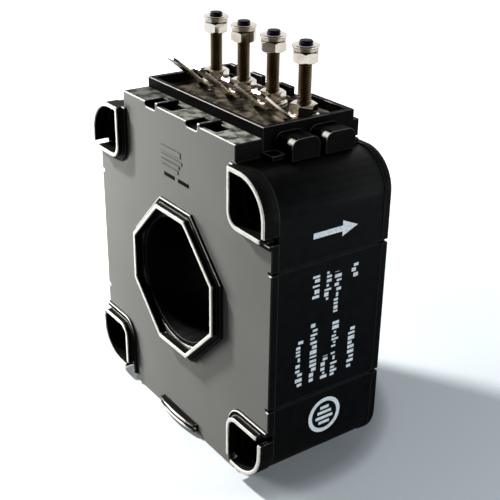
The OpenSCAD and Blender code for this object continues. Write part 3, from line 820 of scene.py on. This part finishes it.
def add_print(name, outlines):
    """Thin print over outlines in millimetres."""
    parts = [prism([(a * MM, b * MM) for a, b in outline], 0, PRINT_THICKNESS, side_point)
             for outline in outlines]
    verts, faces = joined(parts)
    mesh = bpy.data.meshes.new(name)
    mesh.from_pydata(verts, [], faces)
    mesh.validate()
    link(mesh, name, "case_plastic", white_ink)


def rectangle(left, low, right, high):
    """Outline of a rectangle."""
    return [(left, low), (right, low), (right, high), (left, high)]


def print_arrow():
    """Arrow that gives the direction of the current. Depths and heights are in mm."""
    tail, neck, tip = 13.9, 24.0, 29.4
    middle, shaft, head = 80.9, 0.85, 2.35
    add_print("print_arrow", [[(tail, middle - shaft), (neck, middle - shaft), (neck, middle - head),
                               (tip, middle), (neck, middle + head), (neck, middle + shaft),
                               (tail, middle + shaft)]])


def print_columns():
    """Plain bars of uneven length in the place of the rating text."""
    draw = random.Random(PRINT_SEED)
    outlines = []
    for depth, low, high in PRINT_COLUMNS:
        height = low
        while height < high:
            end = min(height + draw.uniform(*COLUMN_BARS), high)
            left = depth + draw.choice(LEFT_CUTS)
            right = depth + COLUMN_WIDTH - draw.choice(RIGHT_CUTS)
            outlines.append(rectangle(left, height, right, end))
            height = end + draw.uniform(*COLUMN_GAPS)
    add_print("print_columns", outlines)


def print_ring():
    """Plain ring of short arcs with level bars in it, below the lower groove. Lengths are in mm."""
    depth, height = 20.9, 21.4
    outer_r, inner_r = 5.9, 4.6
    outlines = []
    for step in range(RING_STEPS):
        start = TURN * step / RING_STEPS
        end = TURN * (step + 1) / RING_STEPS
        corners = ((inner_r, start), (outer_r, start), (outer_r, end), (inner_r, end))
        outlines.append([(depth + r * math.cos(a), height + r * math.sin(a)) for r, a in corners])
    for shift, reach in RING_BARS:
        low = height + shift - RING_BAR_HALF
        high = height + shift + RING_BAR_HALF
        outlines.append(rectangle(depth - reach, low, depth + reach, high))
    add_print("print_ring", outlines)


def plate_point(x, height, level):
    """A point on the front plate, raised by the level."""
    return Vector((x, front_y - level, height))


def add_relief(name, outlines, proud, look):
    """One piece of plain blocks that stand out from the front plate, over outlines in millimetres."""
    parts = [prism([(a * MM, b * MM) for a, b in outline], 0, proud, plate_point)
             for outline in outlines]
    mesh = mesh_from(name, *joined(parts))
    shade_by_angle(mesh, RELIEF_SHADE_ANGLE)
    link(mesh, name, "cover_plastic", look)


def make_relief():
    """Plain raised bars of uneven length on the plate, with two dark dashes below."""
    outlines = [rectangle(left, low, right, high) for low, high, left, right in RELIEF_BARS]
    add_relief("plate_relief", outlines, RELIEF_THICKNESS, cover_plastic)
    dashes = [rectangle(left, DASH_LOW, left + DASH_LENGTH, DASH_LOW + DASH_HEIGHT) for left in DASH_LEFTS]
    add_relief("plate_dashes", dashes, PRINT_THICKNESS, tray_plastic)


print_arrow()
print_columns()
print_ring()
make_relief()


# Floor, light and camera

def glowing(tree_nodes, links, shader_out, colour, switch):
    """Adds a glow of a colour to a shader, for the rays of one kind."""
    glow = tree_nodes.new("ShaderNodeEmission")
    links.new(colour, glow.inputs["Color"])
    links.new(switch, glow.inputs["Strength"])
    total = tree_nodes.new("ShaderNodeAddShader")
    links.new(shader_out, total.inputs[0])
    links.new(glow.outputs[0], total.inputs[1])
    return total.outputs[0]


def floor_material():
    """Floor that takes the shadow, glows to the camera in a painted shadow tone nearer in and white far
    out, and has a dark side in mirrors.
    """
    made, tree_nodes, links, shader = material("floor")
    path = tree_nodes.new("ShaderNodeLightPath")
    seen = path.outputs["Is Camera Ray"]
    mirrored = path.outputs["Is Glossy Ray"]
    pale = constant(tree_nodes, FLOOR_COLOUR)
    dim = constant(tree_nodes, FLOOR_DIM)
    links.new(mix(tree_nodes, links, seen, dim, pale), shader.inputs["Base Color"])
    shader.inputs["Roughness"].default_value = 0.9
    shader.inputs["Specular IOR Level"].default_value = 0.1
    place = tree_nodes.new("ShaderNodeNewGeometry").outputs["Position"]
    length = tree_nodes.new("ShaderNodeVectorMath")
    length.operation = "LENGTH"
    links.new(place, length.inputs[0])
    distance = length.outputs["Value"]
    way = tree_nodes.new("ShaderNodeVectorMath")
    way.operation = "NORMALIZE"
    links.new(place, way.inputs[0])
    cosine = dot_with(tree_nodes, links, way.outputs[0], DARK_SIDE)
    dark = between(tree_nodes, links, cosine, *DARK_SIDE_EDGE)
    seen_glow_and_shadow_tone = stops(tree_nodes, links, distance, FLOOR_GLOW_AND_SHADOW_TONE)
    mirror_glow = stops(tree_nodes, links, distance, MIRROR_GLOW)
    mirror_glow = mix(tree_nodes, links, dark, mirror_glow, constant(tree_nodes, MIRROR_BROWN))
    total = glowing(tree_nodes, links, shader.outputs[0], seen_glow_and_shadow_tone, seen)
    total = glowing(tree_nodes, links, total, mirror_glow, mirrored)
    links.new(total, tree_nodes["Material Output"].inputs["Surface"])
    return made


def make_floor():
    """Large level square under the object."""
    size = FLOOR_SIZE
    corners = [(-size, -size, 0), (size, -size, 0), (size, size, 0), (-size, size, 0)]
    mesh = bpy.data.meshes.new("floor")
    mesh.from_pydata(corners, [], [(0, 1, 2, 3)])
    mesh.materials.append(floor_material())
    floor = bpy.data.objects.new("floor", mesh)
    bpy.context.scene.collection.objects.link(floor)


def make_world():
    """White to the camera, a room with a dark side to gloss, and a weak blue sky to all else."""
    world = bpy.data.worlds.new("studio")
    bpy.context.scene.world = world
    world.use_nodes = True
    tree_nodes = world.node_tree.nodes
    links = world.node_tree.links
    sky = tree_nodes["Background"]
    sky.inputs["Color"].default_value = (*SKY_COLOUR, 1)
    sky.inputs["Strength"].default_value = SKY_STRENGTH
    room = tree_nodes.new("ShaderNodeBackground")
    links.new(room_colour(tree_nodes, links), room.inputs["Color"])
    white = tree_nodes.new("ShaderNodeBackground")
    white.inputs["Color"].default_value = (1, 1, 1, 1)
    path = tree_nodes.new("ShaderNodeLightPath")
    mirrored = tree_nodes.new("ShaderNodeMixShader")
    links.new(path.outputs["Is Glossy Ray"], mirrored.inputs["Fac"])
    links.new(sky.outputs[0], mirrored.inputs[1])
    links.new(room.outputs[0], mirrored.inputs[2])
    seen = tree_nodes.new("ShaderNodeMixShader")
    links.new(path.outputs["Is Camera Ray"], seen.inputs["Fac"])
    links.new(mirrored.outputs[0], seen.inputs[1])
    links.new(white.outputs[0], seen.inputs[2])
    links.new(seen.outputs[0], tree_nodes["World Output"].inputs["Surface"])


def room_colour(tree_nodes, links):
    """The room as metal mirrors it: white on most sides, dark brown on one side and above."""
    place = tree_nodes.new("ShaderNodeTexCoord").outputs["Generated"]
    side = dot_with(tree_nodes, links, place, DARK_SIDE)
    height = dot_with(tree_nodes, links, place, (0, 0, 1))
    across = stops(tree_nodes, links, between(tree_nodes, links, side, -1, 1), ROOM_ACROSS)
    upward = stops(tree_nodes, links, between(tree_nodes, links, height, -1, 1), ROOM_UPWARD)
    both = tree_nodes.new("ShaderNodeMix")
    both.data_type = "RGBA"
    both.blend_type = "MULTIPLY"
    both.inputs[0].default_value = 1.0
    links.new(across, both.inputs[6])
    links.new(upward, both.inputs[7])
    return both.outputs[2]


def make_lamps():
    """Round soft lamps. Only some show in gloss, and none to the camera."""
    for name, place, size, power, colour in LAMPS:
        data = bpy.data.lights.new(name, "AREA")
        data.shape = "DISK"
        data.size = size
        data.energy = power
        data.color = colour
        lamp = bpy.data.objects.new(name, data)
        bpy.context.scene.collection.objects.link(lamp)
        lamp.location = place
        lamp.rotation_euler = (Vector(LAMP_TARGET) - Vector(place)).to_track_quat("-Z", "Y").to_euler()
        lamp.visible_camera = False
        lamp.visible_glossy = name in LAMPS_IN_GLOSS


def make_camera():
    """The camera, which becomes the one of the scene."""
    data = bpy.data.cameras.new("camera")
    camera = bpy.data.objects.new("camera", data)
    bpy.context.scene.collection.objects.link(camera)
    camera.location = CAMERA_PLACE
    camera.rotation_euler = [math.radians(a) for a in CAMERA_TURN]
    data.lens = FOCAL_LENGTH
    data.sensor_width = SENSOR_WIDTH
    data.clip_start = 0.01
    data.clip_end = 50
    bpy.context.scene.camera = camera


make_floor()
make_world()
make_lamps()
make_camera()

bpy.context.scene.view_settings.view_transform = "Standard"
